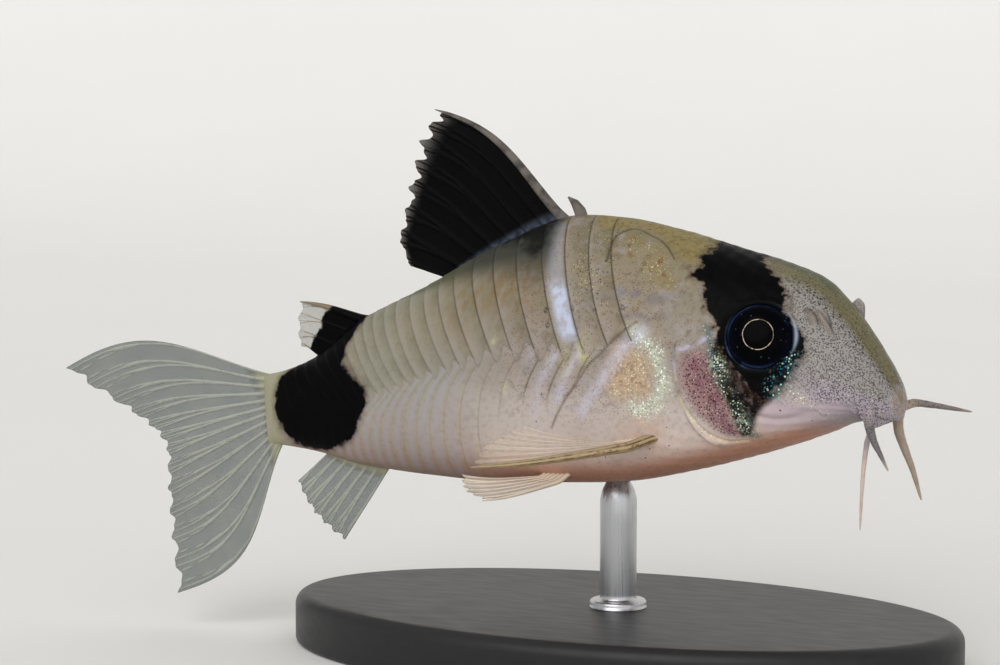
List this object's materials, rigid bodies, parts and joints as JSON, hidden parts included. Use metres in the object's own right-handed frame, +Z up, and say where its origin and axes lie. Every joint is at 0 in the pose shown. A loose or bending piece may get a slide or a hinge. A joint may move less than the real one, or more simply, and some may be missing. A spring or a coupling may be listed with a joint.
{
  "type": "panda corydoras catfish model on a display stand",
  "caption": "Life-size model of a small armoured catfish with a black eye mask, black back fin and black tail spot, held over an oval base by a short rod.",
  "frame": {"origin": "centre of the stand base's underside, below the rod", "axes": "+X toward the fish's head, +Y toward its left side, +Z up"},
  "size_m": [0.0576, 0.024, 0.0326],
  "materials": {
    "flesh": "satin painted skin",
    "eye": "glossy",
    "dark_fin": "satin",
    "clear_fin": "translucent satin",
    "cream_fin": "translucent satin",
    "barbel": "satin",
    "stand_base": "satin black",
    "stand_rod": "polished"
  },
  "bodies": {
    "root": {"adipose_fin": "clear_fin", "anal_fin": "clear_fin", "barbel_lower_left": "barbel", "barbel_lower_right": "barbel", "barbel_upper_left": "barbel", "barbel_upper_right": "barbel", "caudal_fin": "clear_fin", "dorsal_fin": "dark_fin", "eye_left": "eye", "eye_right": "eye", "head": "flesh", "pectoral_fin_left": "cream_fin", "pectoral_fin_right": "cream_fin", "pelvic_fin_left": "cream_fin", "pelvic_fin_right": "cream_fin", "stand_base": "stand_base", "stand_rod": "stand_rod", "tail": "flesh", "trunk": "flesh"}
  },
  "joints": []
}
